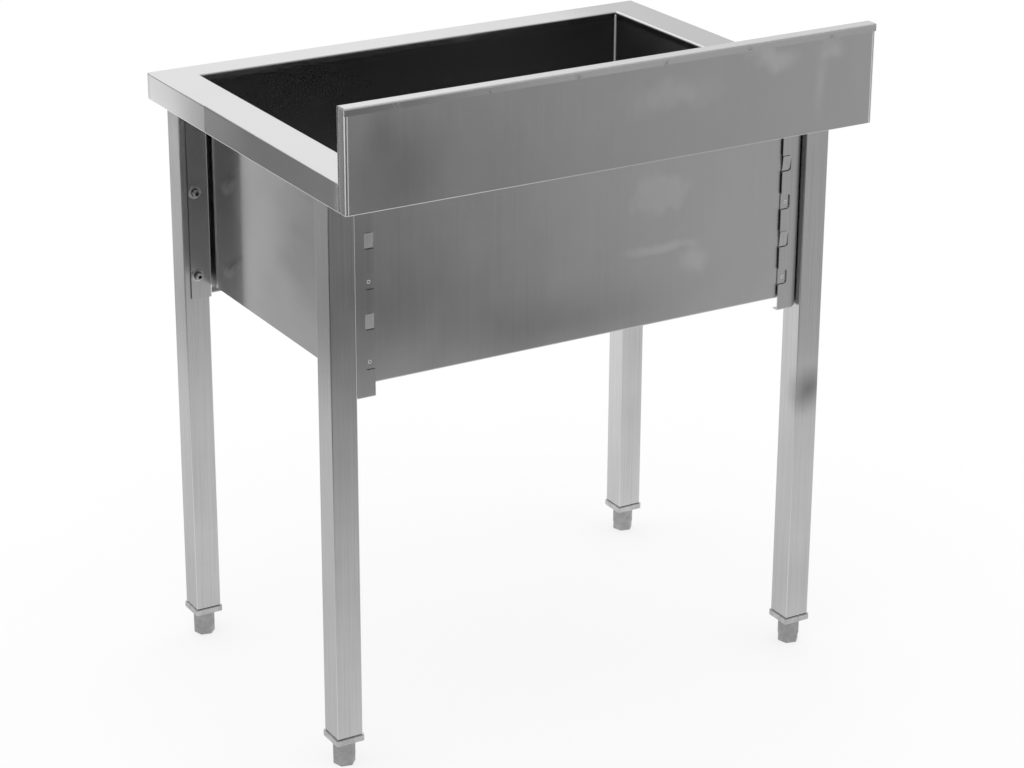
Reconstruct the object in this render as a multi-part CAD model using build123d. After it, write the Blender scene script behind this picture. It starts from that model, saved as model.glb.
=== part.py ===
from build123d import *
import math
import os

# A stainless steel catering sink: one deep bowl in a pressed rim, an upstand along the wall side and four
# bolted legs. Millimetres. X runs along the sink, +Y points to the wall, +Z up. The origin lies on the floor
# under the centre of the rim. Left and right are those of a person at the front who faces the wall.

# Rim, aprons and upstand
top_length = 800.0
top_depth = 600.0
rim_height = 850.0
side_rim_width = 59.0
front_rim_width = 49.0
rear_rim_width = 69.0
sheet = 1.0
bend_radius = 2.0
apron_corner_radius = 3.0
apron_height = 38.0
hem_width = 10.0
hem_radius = 1.0
upstand_height = 100.0
upstand_thickness = 20.0
return_height = 10.0
upstand_root_radius = 2.5

# Bowl and the recess around its outlet
bowl_depth = 302.0
skirt_depth = 10.0
recess_depth = 8.0
recess_radius = 46.0
recess_slope = 6.0

# Legs
leg_size = 38.0
leg_wall = 1.2
leg_corner_radius = 1.5
leg_past_bowl = 12.5
leg_web_gap = 1.6

# Brackets that join the legs to the bowl
bracket_sheet = 1.5
bracket_bend_radius = 2.75
bracket_wall_gap = 2.0
bracket_end_gap = 3.9
wall_flange_width = 29.9
leg_flange_width = 30.1
bracket_drop = 17.5
bracket_top_gap = 3.0
lip_width = 10.5
relief_height = 3.0
relief_width = 4.0
tab_width = 14.0
tab_height = 23.0
tab_pitch = 54.9
tab_count = 4
tab_corner_radius = 4.0
lowest_tab_rise = 38.0

# Leg screws, washers and rivet nuts
screw_radius = 3.0
screw_length = 16.0
screw_head_radius = 5.0
screw_head_height = 6.0
screw_socket_flats = 5.0
screw_socket_depth = 3.0
screw_head_round = 0.5
washer_radius = 9.0
washer_thickness = 1.6
spring_washer_radius = 5.9
spring_washer_thickness = 1.6
spring_washer_gap = 1.2
lowest_screw_rise = 38.5
screw_pitch = 123.0
screw_count = 2
nut_flange_radius = 6.5
nut_flange_thickness = 1.0
nut_body_radius = 4.5
nut_body_length = 12.0
hole_clearance = 0.3
thread_clearance = 0.05

# Plugs in the leg ends and the adjustable feet
collar_overhang = 2.3
collar_height = 9.0
collar_corner_radius = 3.5
collar_edge_radius = 1.0
seat_height = 0.8
seat_inset = 0.6
plug_height = 22.0
plug_clearance = 0.1
foot_height = 37.0
foot_radius = 15.2
foot_flats = 27.0
foot_flat_height = 10.5
foot_shoulder_height = 3.0
foot_angle = -13.0
foot_base_radius = 1.2
foot_top_chamfer = 0.5
foot_travel = 21.0
stem_radius = 6.0
stem_engagement = 14.0
stem_socket_depth = 15.0
stem_tip_chamfer = 1.0

# Waste outlet under the bowl
waste_flange_radius = 42.0
waste_flange_thickness = 2.0
waste_flange_chamfer = 1.0
waste_tail_radius = 23.9
waste_bore_radius = 20.5
waste_tail_length = 62.0
waste_relief_gap = 2.0
waste_relief_width = 2.0
waste_relief_depth = 1.0
strainer_radius = 32.0
strainer_thickness = 1.2
strainer_clearance = 0.3
strainer_hole_radius = 2.5
strainer_ring_radii = (8.5, 15.0)
strainer_ring_counts = (6, 12)
strainer_knob_radius = 3.5
strainer_knob_height = 4.0
strainer_knob_round = 1.2
gasket_radius = 36.0
gasket_thickness = 3.0
gasket_bore_clearance = 0.3
waste_hole_clearance = 1.1
lock_nut_flats = 64.0
lock_nut_height = 10.0

half_length = top_length / 2
half_depth = top_depth / 2
apron_bottom = rim_height - apron_height
upstand_top = rim_height + upstand_height
upstand_front = half_depth - upstand_thickness
deck_end = upstand_front + sheet
deck_underside = rim_height - sheet
panel_face = half_depth - sheet

half_bowl_length = half_length - side_rim_width
bowl_near_y = front_rim_width - half_depth
bowl_far_y = upstand_front - rear_rim_width
bowl_centre_y = (bowl_near_y + bowl_far_y) / 2
half_bowl_width = (bowl_far_y - bowl_near_y) / 2
bowl_floor = rim_height - bowl_depth
bowl_underside = bowl_floor - sheet
skirt_bottom = rim_height - skirt_depth
recess_floor = bowl_floor - recess_depth
waste_hole_radius = waste_tail_radius + waste_hole_clearance
lock_nut_top = recess_floor - sheet - gasket_thickness
lock_nut_bottom = lock_nut_top - lock_nut_height

# Reach in Y is measured from the middle of the bowl, because bowl, brackets and legs mirror about it.
bowl_reach = half_bowl_width + sheet
web_outer_x = half_bowl_length + sheet + bracket_end_gap + bracket_sheet
leg_inner_x = web_outer_x + leg_web_gap
leg_outer_x = leg_inner_x + leg_size
leg_outer_reach = bowl_reach + leg_past_bowl
leg_inner_reach = leg_outer_reach - leg_size
leg_x = leg_inner_x + leg_size / 2
leg_reach = leg_outer_reach - leg_size / 2

collar_bottom = foot_height
collar_top = collar_bottom + collar_height
leg_bottom = collar_top + seat_height

wall_flange_edge_x = web_outer_x - wall_flange_width
leg_flange_edge_x = web_outer_x + leg_flange_width
wall_flange_reach = bowl_reach + bracket_wall_gap + bracket_sheet
leg_flange_face = leg_inner_reach - nut_flange_thickness
screw_seat_reach = leg_flange_face - bracket_sheet
bracket_bottom = bowl_underside - bracket_drop
bracket_top = deck_underside - bracket_top_gap
screw_heights = [bracket_bottom + lowest_screw_rise + screw_pitch * n for n in range(screw_count)]


def block(x_span, y_span, z_span):
    spans = (x_span, y_span, z_span)
    size = [high - low for low, high in spans]
    centre = [(high + low) / 2 for low, high in spans]
    return Pos(*centre) * Box(*size)


def square_block(size, low, high, corner_radius):
    """Upright square bar around Z with rounded corners."""
    bar = block((-size / 2, size / 2), (-size / 2, size / 2), (low, high))
    return fillet(bar.edges().filter_by(Axis.Z), corner_radius)


def disc(radius, low, high, y=0.0):
    return Pos(0, y, (low + high) / 2) * Cylinder(radius, high - low)


def hexagon(flats, low, high, taper=0.0):
    side = RegularPolygon(flats / 2, 6, major_radius=False)
    return Pos(0, 0, low) * extrude(side, high - low, taper=taper)


def screw_bar(radius, near_reach, far_reach, height):
    """A round bar along Y, on the axis of a leg screw."""
    middle = bowl_centre_y + (near_reach + far_reach) / 2
    return Pos(leg_x, middle, height) * Rot(90, 0, 0) * Cylinder(radius, far_reach - near_reach)


def at_corner(shape, side, end):
    """Mirrors a shape made for the rear right corner to another corner of the sink."""
    if side == "left":
        shape = mirror(shape, about=Plane.YZ)
    if end == "front":
        shape = mirror(shape, about=Plane.XZ.offset(-bowl_centre_y))
    return shape


def under_leg(shape, side, end):
    """Moves a shape made around the Z axis to the middle of a leg."""
    x = leg_x if side == "right" else -leg_x
    reach = leg_reach if end == "rear" else -leg_reach
    return Pos(x, bowl_centre_y + reach, 0) * shape


def make_worktop():
    """Rim with its aprons and hems, the turned-down edge of the opening, and the upstand's front and top."""
    side = (-half_length, half_length)
    outer = block(side, (-half_depth, half_depth), (apron_bottom, rim_height))
    outer = fillet(outer.edges().filter_by(Axis.Z), apron_corner_radius)
    outer = fillet(outer.faces().sort_by(Axis.Z)[-1].edges(), bend_radius)
    outer = fillet(outer.faces().sort_by(Axis.Z)[0].edges(), hem_radius)
    inner = block(
        (-half_length + sheet, half_length - sheet),
        (-half_depth + sheet, half_depth - sheet),
        (apron_bottom + sheet, deck_underside),
    )
    inner = fillet(inner.edges().filter_by(Axis.Z), apron_corner_radius - sheet)
    inner = fillet(inner.faces().sort_by(Axis.Z)[-1].edges(), bend_radius - sheet)
    under = block(
        (-half_length + hem_width, half_length - hem_width),
        (-half_depth + hem_width, half_depth),
        (apron_bottom, apron_bottom + sheet),
    )
    behind = block(side, (deck_end, half_depth), (apron_bottom, rim_height))
    top = outer - inner - under - behind

    skirt = block(
        (-half_bowl_length - sheet, half_bowl_length + sheet),
        (bowl_near_y - sheet, bowl_far_y + sheet),
        (skirt_bottom, deck_underside),
    )
    opening = block(
        (-half_bowl_length, half_bowl_length),
        (bowl_near_y, bowl_far_y),
        (skirt_bottom, rim_height),
    )
    top = top + skirt - opening
    for level, radius in ((deck_underside, bend_radius - sheet), (rim_height, bend_radius)):
        ring = top.edges().filter_by_position(Axis.Z, level, level)
        ring = ring.filter_by_position(Axis.X, -half_bowl_length - 2 * sheet, half_bowl_length + 2 * sheet)
        ring = ring.filter_by_position(Axis.Y, bowl_near_y - 2 * sheet, bowl_far_y + 2 * sheet)
        top = fillet(ring, radius)

    upstand_path = FilletPolyline(
        (deck_end - sheet / 2, rim_height),
        (deck_end - sheet / 2, upstand_top - sheet / 2),
        (half_depth - sheet / 2, upstand_top - sheet / 2),
        (half_depth - sheet / 2, upstand_top - return_height),
        radius=bend_radius - sheet / 2,
    )
    top += extrude(Plane.YZ * trace(upstand_path, sheet), half_length, both=True)
    flat_half_length = half_length - apron_corner_radius
    root_y = upstand_front - upstand_root_radius
    root_z = rim_height + upstand_root_radius
    root = block((-flat_half_length, flat_half_length), (root_y, upstand_front), (rim_height, root_z))
    root -= Pos(0, root_y, root_z) * Rot(0, 90, 0) * Cylinder(upstand_root_radius, top_length)
    return top + root


def make_rear_panel():
    """Flat back of the upstand and apron, with its ends turned forwards and a hem along the bottom."""
    outer = block((-half_length, half_length), (deck_end, panel_face), (apron_bottom, upstand_top - sheet))
    outer = fillet(outer.edges().filter_by(Axis.X).group_by(Axis.Z)[-1], bend_radius - sheet)
    outer = fillet(outer.edges().filter_by(Axis.Z).group_by(Axis.Y)[-1], apron_corner_radius)
    hem = outer.faces().sort_by(Axis.Z)[0].edges().sort_by(Axis.Y)[1:]
    outer = fillet(hem, hem_radius)
    inner = block(
        (-half_length + sheet, half_length - sheet),
        (deck_end - sheet, panel_face - sheet),
        (apron_bottom + sheet, upstand_top),
    )
    inner = fillet(inner.edges().filter_by(Axis.Z).group_by(Axis.Y)[-1], apron_corner_radius - sheet)
    under = block(
        (-half_length + hem_width, half_length - hem_width),
        (deck_end - sheet, panel_face - hem_width),
        (apron_bottom, apron_bottom + sheet),
    )
    return outer - inner - under


def make_bowl_wrap():
    """Front wall, floor and rear wall of the bowl in one bent sheet, with the recess for the outlet."""
    near_y = bowl_near_y - sheet / 2
    far_y = bowl_far_y + sheet / 2
    path = FilletPolyline(
        (near_y, skirt_bottom),
        (near_y, bowl_floor - sheet / 2),
        (far_y, bowl_floor - sheet / 2),
        (far_y, skirt_bottom),
        radius=bend_radius - sheet / 2,
    )
    wrap = extrude(Plane.YZ * trace(path, sheet), half_bowl_length, both=True)
    edge_radius = recess_radius + recess_slope
    wrap -= disc(edge_radius + sheet, bowl_underside, bowl_floor, y=bowl_centre_y)
    section = Polyline(
        (waste_hole_radius, recess_floor - sheet),
        (recess_radius + sheet / 2, recess_floor - sheet),
        (edge_radius + sheet / 2, bowl_underside),
        (edge_radius + sheet, bowl_underside),
        (edge_radius + sheet, bowl_floor),
        (edge_radius - sheet / 2, bowl_floor),
        (recess_radius - sheet / 2, recess_floor),
        (waste_hole_radius, recess_floor),
        close=True,
    )
    recess = revolve(Plane.XZ * make_face(section), Axis.Z)
    return wrap + Pos(0, bowl_centre_y, 0) * recess


def make_bowl_end():
    """Right end wall of the bowl."""
    end = block(
        (half_bowl_length, half_bowl_length + sheet),
        (bowl_centre_y - bowl_reach, bowl_centre_y + bowl_reach),
        (bowl_underside, skirt_bottom),
    )
    return fillet(end.edges().filter_by(Axis.X).group_by(Axis.Z)[0], bend_radius)


def make_leg():
    """Square tube with a round hole for each rivet nut."""
    span_x = (leg_inner_x, leg_outer_x)
    span_y = (bowl_centre_y + leg_inner_reach, bowl_centre_y + leg_outer_reach)
    outer = block(span_x, span_y, (leg_bottom, deck_underside))
    outer = fillet(outer.edges().filter_by(Axis.Z), leg_corner_radius)
    inner = block(
        (span_x[0] + leg_wall, span_x[1] - leg_wall),
        (span_y[0] + leg_wall, span_y[1] - leg_wall),
        (leg_bottom, deck_underside),
    )
    leg = outer - fillet(inner.edges().filter_by(Axis.Z), leg_corner_radius - leg_wall)
    for height in screw_heights:
        hole_radius = nut_body_radius + thread_clearance
        leg -= screw_bar(hole_radius, leg_inner_reach, leg_inner_reach + leg_wall, height)
    return leg


def tab_pocket(grow, near_reach, far_reach, low):
    """Rounded box around a tab, open at the free edge of the flange."""
    span_z = (low - grow, low + tab_height + grow)
    span_y = (bowl_centre_y + near_reach, bowl_centre_y + far_reach)
    pocket = block((wall_flange_edge_x, wall_flange_edge_x + tab_width + grow), span_y, span_z)
    return fillet(pocket.edges().filter_by(Axis.Y).group_by(Axis.X)[-1], tab_corner_radius + grow)


def make_bracket():
    """Folded Z of sheet: a flange along the bowl, a web beside the leg and a flange screwed to the leg.

    The tabs are pressed in from the free edge until they lie on the bowl, where they are spot welded.
    """
    half = bracket_sheet / 2
    path = FilletPolyline(
        (wall_flange_edge_x, bowl_centre_y + wall_flange_reach - half),
        (web_outer_x - half, bowl_centre_y + wall_flange_reach - half),
        (web_outer_x - half, bowl_centre_y + leg_flange_face - half),
        (leg_flange_edge_x, bowl_centre_y + leg_flange_face - half),
        radius=bracket_bend_radius - half,
    )
    bracket = extrude(trace(path, bracket_sheet), bracket_top - bracket_bottom)
    bracket = Pos(0, 0, bracket_bottom) * bracket
    relief_x = web_outer_x - relief_width
    bracket -= block(
        (relief_x, leg_flange_edge_x),
        (bowl_centre_y + screw_seat_reach, bowl_centre_y + wall_flange_reach),
        (bracket_bottom, bracket_bottom + relief_height),
    )
    lip = block(
        (wall_flange_edge_x, relief_x),
        (bowl_centre_y + wall_flange_reach - lip_width, bowl_centre_y + wall_flange_reach),
        (bracket_bottom, bracket_bottom + bracket_sheet),
    )
    bracket += lip
    corner = bracket.edges().filter_by(Axis.X).filter_by_position(Axis.Z, bracket_bottom, bracket_bottom)
    bracket = fillet(corner.sort_by(Axis.Y)[-1], bracket_sheet)
    for n in range(tab_count):
        low = bracket_bottom + lowest_tab_rise + tab_pitch * n
        back = wall_flange_reach - half
        bracket += tab_pocket(bracket_sheet, bowl_reach, back, low)
        bracket -= tab_pocket(0, bowl_reach + bracket_sheet, wall_flange_reach, low)
    for height in screw_heights:
        bracket -= screw_bar(screw_radius + hole_clearance, screw_seat_reach, leg_flange_face, height)
    return bracket


def make_rivet_nut(height):
    flange = screw_bar(nut_flange_radius, leg_flange_face, leg_inner_reach, height)
    body = screw_bar(nut_body_radius, leg_inner_reach, leg_inner_reach + nut_body_length, height)
    bore_end = leg_inner_reach + nut_body_length
    bore = screw_bar(screw_radius + thread_clearance, leg_flange_face, bore_end, height)
    return flange + body - bore


def make_washer(height):
    near = screw_seat_reach - washer_thickness
    plate = screw_bar(washer_radius, near, screw_seat_reach, height)
    return plate - screw_bar(screw_radius + hole_clearance, near, screw_seat_reach, height)


def make_spring_washer(height):
    """Split ring between the flat washer and the screw head."""
    far = screw_seat_reach - washer_thickness
    near = far - spring_washer_thickness
    ring = screw_bar(spring_washer_radius, near, far, height)
    ring -= screw_bar(screw_radius + hole_clearance, near, far, height)
    split = block(
        (leg_x, leg_x + spring_washer_radius),
        (bowl_centre_y + near, bowl_centre_y + far),
        (height - spring_washer_gap / 2, height + spring_washer_gap / 2),
    )
    return ring - split


def make_screw(height):
    """Cap screw with a hexagon socket, its head towards the middle of the sink."""
    seat = screw_seat_reach - washer_thickness - spring_washer_thickness
    face = seat - screw_head_height
    head = screw_bar(screw_head_radius, face, seat, height)
    head = fillet(head.edges().filter_by(GeomType.CIRCLE).sort_by(Axis.Y)[0], screw_head_round)
    socket = Rot(-90, 0, 0) * hexagon(screw_socket_flats, 0, screw_socket_depth)
    socket = Pos(leg_x, bowl_centre_y + face, height) * socket
    return head + screw_bar(screw_radius, seat, seat + screw_length, height) - socket


def make_leg_plug():
    """Collar under the leg with a plug that fills the tube, bored through for the stem of the foot."""
    outer = leg_size + 2 * collar_overhang
    collar = square_block(outer, collar_bottom, collar_top, collar_corner_radius)
    ends = collar.faces().sort_by(Axis.Z)
    collar = fillet(ends[0].edges() + ends[-1].edges(), collar_edge_radius)
    seat = square_block(leg_size - 2 * seat_inset, collar_top, leg_bottom, leg_corner_radius - seat_inset)
    gap = leg_wall + plug_clearance
    plug = square_block(leg_size - 2 * gap, leg_bottom, leg_bottom + plug_height, leg_corner_radius - gap)
    bore = disc(stem_radius + thread_clearance, collar_bottom, leg_bottom + plug_height)
    return collar + seat + plug - bore


def make_foot():
    """Round body with six flats for a spanner at its foot, which run out in sloping shoulders."""
    shoulder_top = foot_flat_height + foot_shoulder_height
    slope = math.degrees(math.atan2(foot_radius - foot_flats / 2, foot_shoulder_height))
    flats = hexagon(foot_flats, 0, foot_flat_height)
    flats += hexagon(foot_flats, foot_flat_height, shoulder_top, -slope)
    body = Rot(0, 0, foot_angle) * flats & disc(foot_radius, 0, shoulder_top)
    body = fillet(body.faces().sort_by(Axis.Z)[0].edges(), foot_base_radius)
    body += disc(foot_radius, shoulder_top, foot_height)
    body = chamfer(body.faces().sort_by(Axis.Z)[-1].edges(), foot_top_chamfer)
    return body - disc(stem_radius + thread_clearance, foot_height - stem_socket_depth, foot_height)


def make_stem():
    """Threaded stem of a foot, drawn at its outer diameter, with the foot screwed fully in."""
    top = collar_bottom + stem_engagement + foot_travel
    stem = disc(stem_radius, foot_height - stem_socket_depth, top)
    return chamfer(stem.edges().sort_by(Axis.Z)[-1], stem_tip_chamfer)


def make_waste_body():
    """Flanged outlet with a seat for the strainer and a threaded tail, drawn at its outer diameter.

    A narrow groove parts the thread that holds the lock nut from the thread for the waste pipe.
    """
    flange_top = recess_floor + waste_flange_thickness
    tail_bottom = recess_floor - waste_tail_length
    body = disc(waste_flange_radius, recess_floor, flange_top)
    body = chamfer(body.edges().sort_by(Axis.Z)[-1], waste_flange_chamfer)
    body += disc(waste_tail_radius, tail_bottom, recess_floor)
    relief_top = lock_nut_bottom - waste_relief_gap
    relief = disc(waste_flange_radius, relief_top - waste_relief_width, relief_top)
    core_radius = waste_tail_radius - waste_relief_depth
    body -= relief - disc(core_radius, relief_top - waste_relief_width, relief_top)
    body -= disc(waste_bore_radius, tail_bottom, flange_top)
    body -= disc(strainer_radius, flange_top - strainer_thickness, flange_top)
    return Pos(0, bowl_centre_y, 0) * body


def make_strainer():
    """Perforated disc with a small knob, lying loose in the outlet."""
    top = recess_floor + waste_flange_thickness
    low = top - strainer_thickness
    plate = disc(strainer_radius - strainer_clearance, low, top)
    for ring_radius, count in zip(strainer_ring_radii, strainer_ring_counts):
        for spot in PolarLocations(ring_radius, count):
            plate -= spot * disc(strainer_hole_radius, low, top)
    plate += disc(strainer_knob_radius, top, top + strainer_knob_height)
    plate = fillet(plate.edges().sort_by(Axis.Z)[-1], strainer_knob_round)
    return Pos(0, bowl_centre_y, 0) * plate


def make_waste_gasket():
    ring = disc(gasket_radius, lock_nut_top, recess_floor - sheet)
    ring -= disc(waste_tail_radius + gasket_bore_clearance, lock_nut_top, recess_floor - sheet)
    return Pos(0, bowl_centre_y, 0) * ring


def make_lock_nut():
    nut = hexagon(lock_nut_flats, lock_nut_bottom, lock_nut_top)
    nut -= disc(waste_tail_radius + thread_clearance, lock_nut_bottom, lock_nut_top)
    return Pos(0, bowl_centre_y, 0) * nut


def save(name, shape):
    export_step(shape, os.path.join("parts", name + ".step"))


def save_group(name, make_one, corners):
    """One node of identical fasteners, a solid at each screw of each leg."""
    solids = []
    for side, end in corners:
        for height in screw_heights:
            solids += at_corner(make_one(height), side, end).solids()
    save(name, Compound(solids))


def main():
    os.makedirs("parts", exist_ok=True)
    save("worktop", make_worktop())
    save("rear_panel", make_rear_panel())
    save("bowl_wrap", make_bowl_wrap())
    corners = [(side, end) for side in ("left", "right") for end in ("front", "rear")]
    for side in ("left", "right"):
        save("bowl_end_" + side, at_corner(make_bowl_end(), side, "rear"))
    makers = {
        "leg": (make_leg, at_corner),
        "bracket": (make_bracket, at_corner),
        "leg_plug": (make_leg_plug, under_leg),
        "foot": (make_foot, under_leg),
        "foot_stem": (make_stem, under_leg),
    }
    for piece, (make, place) in makers.items():
        shape = make()
        for side, end in corners:
            save(f"{piece}_{end}_{side}", place(shape, side, end))
    save_group("leg_screws", make_screw, corners)
    save_group("leg_washers", make_washer, corners)
    save_group("spring_washers", make_spring_washer, corners)
    save_group("rivet_nuts", make_rivet_nut, corners)
    save("waste_body", make_waste_body())
    save("strainer", make_strainer())
    save("waste_gasket", make_waste_gasket())
    save("waste_lock_nut", make_lock_nut())


main()
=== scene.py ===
import math

import bpy
from mathutils import Matrix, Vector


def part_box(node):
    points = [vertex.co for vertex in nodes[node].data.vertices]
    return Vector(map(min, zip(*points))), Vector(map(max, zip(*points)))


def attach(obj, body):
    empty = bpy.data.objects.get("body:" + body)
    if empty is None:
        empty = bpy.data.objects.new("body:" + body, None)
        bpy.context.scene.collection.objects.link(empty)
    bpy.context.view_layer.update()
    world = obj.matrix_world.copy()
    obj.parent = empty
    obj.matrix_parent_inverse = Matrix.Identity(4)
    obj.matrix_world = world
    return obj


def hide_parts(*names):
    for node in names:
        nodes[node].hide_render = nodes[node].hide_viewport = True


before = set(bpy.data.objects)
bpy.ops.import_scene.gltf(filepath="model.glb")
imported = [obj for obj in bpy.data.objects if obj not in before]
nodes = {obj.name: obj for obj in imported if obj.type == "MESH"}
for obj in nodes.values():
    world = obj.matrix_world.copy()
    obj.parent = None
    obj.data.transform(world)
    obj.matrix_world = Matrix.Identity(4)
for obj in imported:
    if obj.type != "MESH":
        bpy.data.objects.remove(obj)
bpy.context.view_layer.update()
corners = [f"{end}_{side}" for end in ("front", "rear") for side in ("left", "right")]
print("frame loaded,", len(nodes), "nodes")

# the photographer's place, solved on the edges of the sink
camera = {
    "place": (1.9181, 3.2607, 1.9338),
    "azimuth": 151.11,
    "elevation": 20.93,
    "roll": -0.36,
    "lens": 100.64,
    "sensor": 36,
    "shift": (0.0808, -0.0511),
}


def addCamera():
    data = bpy.data.cameras.new("camera")
    data.lens, data.sensor_width = camera["lens"], camera["sensor"]
    data.shift_x, data.shift_y = camera["shift"]
    seat = bpy.data.objects.new("camera", data)
    bpy.context.scene.collection.objects.link(seat)
    turn = Matrix.Rotation(math.radians(camera["azimuth"]), 3, "Z")
    tilt = Matrix.Rotation(math.radians(90 - camera["elevation"]), 3, "X")
    roll = Matrix.Rotation(math.radians(camera["roll"]), 3, "Z")
    seat.matrix_world = Matrix.Translation(camera["place"]) @ (turn @ tilt @ roll).to_4x4()
    bpy.context.scene.camera = seat


# shader helpers
axes = {"x": (1, 0, 0), "y": (0, 1, 0), "z": (0, 0, 1)}
noiseRange = (0.3, 0.7)  # nearly all of a noise lies in it
# a Mix node's two inputs and its output, for each kind of data
mixSockets = {"RGBA": (6, 7, 2), "VECTOR": (4, 5, 1)}


def addNode(tree, kind, **values):
    node = tree.nodes.new(kind)
    for key, value in values.items():
        setattr(node, key, value)
    return node


def feed(tree, socket, value):
    if isinstance(value, bpy.types.NodeSocket):
        tree.links.new(value, socket)
    else:
        socket.default_value = value


def calc(tree, operation, *values):
    node = addNode(tree, "ShaderNodeMath", operation=operation)
    for socket, value in zip(node.inputs, values):
        feed(tree, socket, value)
    return node.outputs[0]


def product(tree, first, *others):
    for other in others:
        first = calc(tree, "MULTIPLY", first, other)
    return first


def highest(tree, first, *others):
    for other in others:
        first = calc(tree, "MAXIMUM", first, other)
    return first


# 1 where the value is above the limit, or below it
def above(tree, value, limit):
    return calc(tree, "GREATER_THAN", value, limit)


def below(tree, value, limit):
    return calc(tree, "LESS_THAN", value, limit)


def ramp(tree, value, low, high, atLow=0.0, atHigh=1.0, smooth=True):
    node = addNode(tree, "ShaderNodeMapRange", interpolation_type="SMOOTHSTEP" if smooth else "LINEAR")
    numbers = {"Value": value, "From Min": low, "From Max": high, "To Min": atLow, "To Max": atHigh}
    for name, number in numbers.items():
        feed(tree, node.inputs[name], number)
    return node.outputs["Result"]


def vectors(tree, operation, first, second):
    node = addNode(tree, "ShaderNodeVectorMath", operation=operation)
    feed(tree, node.inputs[0], first)
    feed(tree, node.inputs[1], second)
    return node.outputs["Value"] if operation in ("DOT_PRODUCT", "DISTANCE") else node.outputs[0]


def noise(tree, vector, scale=1.0, detail=2.0, output=0):
    node = addNode(tree, "ShaderNodeTexNoise")
    feed(tree, node.inputs["Vector"], vector)
    node.inputs["Scale"].default_value = scale
    node.inputs["Detail"].default_value = detail
    return node.outputs[output]


def grey(value):
    return (value, value, value, 1)


def mix(tree, kind, mask, values, blend="MIX"):
    node = addNode(tree, "ShaderNodeMix", data_type=kind, blend_type=blend)
    first, second, result = mixSockets[kind]
    for key, value in zip(("Factor", first, second), (mask, *values)):
        feed(tree, node.inputs[key], value)
    return node.outputs[result]


def mixColors(tree, mask, first, second, blend="MIX"):
    return mix(tree, "RGBA", mask, (first, second), blend)


def mixVectors(tree, mask, first, second):
    return mix(tree, "VECTOR", mask, (first, second))


def addBump(tree, shader, height, strength, depth):
    node = addNode(tree, "ShaderNodeBump")
    node.inputs["Strength"].default_value = strength
    node.inputs["Distance"].default_value = depth
    feed(tree, node.inputs["Height"], height)
    feed(tree, shader.inputs["Normal"], node.outputs[0])


def newMaterial(name, **values):
    material = bpy.data.materials.new(name)
    material.use_nodes = True
    tree = material.node_tree
    shader = tree.nodes["Principled BSDF"]
    for key, value in values.items():
        shader.inputs[key].default_value = value
    return material, tree, shader


def cover(piece, material):
    piece.data.materials.clear()
    piece.data.materials.append(material)


def paint(material, *names):
    for name in names:
        cover(nodes[name], material)


def objectPlace(tree):
    return addNode(tree, "ShaderNodeTexCoord").outputs["Object"]


def coordinates(tree, place):
    split = addNode(tree, "ShaderNodeSeparateXYZ")
    feed(tree, split.inputs[0], place)
    return split.outputs[0], split.outputs[1], split.outputs[2]


# 1 inside the box between the corners low and high
def insideBox(tree, place, low, high):
    masks = []
    for value, least, most in zip(coordinates(tree, place), low, high):
        masks += [above(tree, value, least), below(tree, value, most)]
    return product(tree, *masks)


def newGroup(name, inputs, outputs):
    group = bpy.data.node_groups.new(name, "ShaderNodeTree")
    for label in inputs:
        group.interface.new_socket(label, in_out="INPUT", socket_type="NodeSocketVector")
    for label in outputs:
        group.interface.new_socket(label, in_out="OUTPUT", socket_type="NodeSocketFloat")
    return group, group.nodes.new("NodeGroupInput").outputs, group.nodes.new("NodeGroupOutput").inputs


def useGroup(tree, group, **values):
    node = addNode(tree, "ShaderNodeGroup", node_tree=group)
    for name, value in values.items():
        feed(tree, node.inputs[name], value)
    return node.outputs


# the layers of brushed sheet: how many parts a metre each has along the brush lines and across them, how
# fine its detail is, and its share of Shade
sheetLayers = {
    "scratches": {"scale": (6, 1100, 1100), "detail": 2.0, "share": 0.25},
    "streaks": {"scale": (2, 160, 160), "detail": 2.0, "share": 0.15},
    "clouds": {"scale": (11, 15, 15), "detail": 3.0, "share": 0.5},
    "crossing": {"scale": (260, 5, 260), "detail": 2.0, "share": 0.1},
}
sheetWaves = {"scale": (4, 5, 5), "detail": 1.0}


# brush lines along the first axis of Place: Shade for colour and roughness, Height for the swell of the sheet
def makeBrush():
    group, source, out = newGroup("brush lines", ["Place"], ["Shade", "Height"])

    def pattern(layer):
        place = vectors(group, "MULTIPLY", source["Place"], layer["scale"])
        return noise(group, place, detail=layer["detail"])

    total = 0.0
    for layer in sheetLayers.values():
        total = calc(group, "MULTIPLY_ADD", pattern(layer), layer["share"], total)
    group.links.new(total, out["Shade"])
    group.links.new(pattern(sheetWaves), out["Height"])
    return group


patch = {
    "swirl": 14,
    "swirlDetail": 3.0,
    "edge": (60, 60, 40),
    "edgeDetail": 4.0,
    "softTo": 1.1,
    "lightest": 1.5,
}


# a soft patch of painted light and shade: 1 at Center, 0 from Size onwards, its outline bent by warp metres
def makePatch(name, warp, uneven, softFrom):
    group, source, out = newGroup(name, ["Place", "Center", "Size"], ["Mask"])
    swirl = noise(group, source["Place"], patch["swirl"], patch["swirlDetail"], "Color")
    swirl = vectors(group, "SUBTRACT", swirl, (0.5, 0.5, 0.5))
    place = vectors(group, "ADD", source["Place"], vectors(group, "MULTIPLY", swirl, (warp, warp, warp)))
    offset = vectors(group, "DIVIDE", vectors(group, "SUBTRACT", place, source["Center"]), source["Size"])
    reach = vectors(group, "DISTANCE", offset, (0, 0, 0))
    edge = vectors(group, "MULTIPLY", source["Place"], patch["edge"])
    edge = noise(group, edge, detail=patch["edgeDetail"])
    reach = calc(group, "MULTIPLY_ADD", calc(group, "SUBTRACT", edge, 0.5), uneven, reach)
    group.links.new(ramp(group, reach, softFrom, patch["softTo"], 1.0, 0.0), out["Mask"])
    return group


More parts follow.
